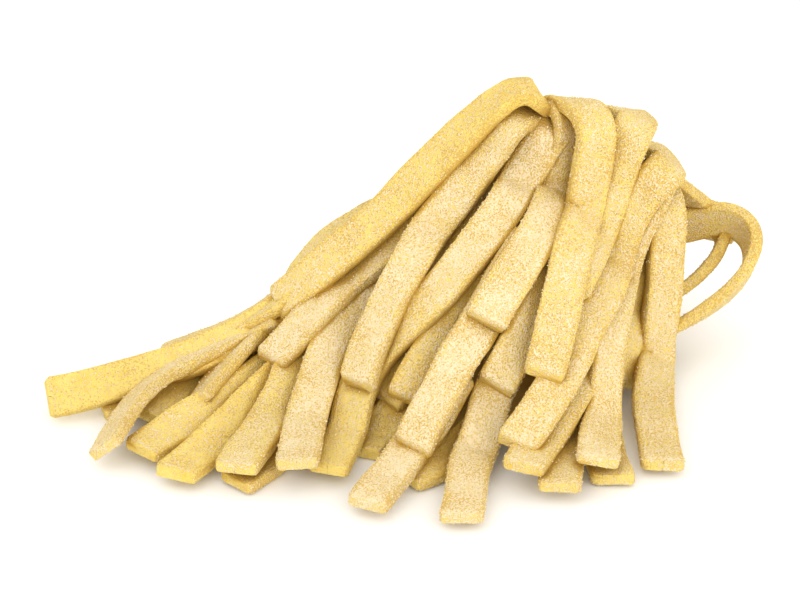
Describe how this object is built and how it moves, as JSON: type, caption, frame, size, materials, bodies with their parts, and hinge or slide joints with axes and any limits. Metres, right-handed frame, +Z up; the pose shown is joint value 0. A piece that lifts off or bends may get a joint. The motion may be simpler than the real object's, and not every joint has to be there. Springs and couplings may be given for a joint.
{
  "type": "folded bundle of dry flat noodles",
  "caption": "Loose heap of broad, flat, flour-dusted dry pasta ribbons, folded over one ridge and fanned out, that rests on a flat base.",
  "frame": {"origin": "middle of the heap's box, on the surface that it lies on", "axes": "+X from the low tail of the heap to its steep shoulder, -Y to the front, +Z up"},
  "size_m": [0.1508, 0.1324, 0.0651],
  "materials": {
    "dry_pasta": "matt dry egg dough, dusted with semolina"
  },
  "bodies": {
    "root": {"noodle_bundle": "dry_pasta"}
  },
  "joints": []
}
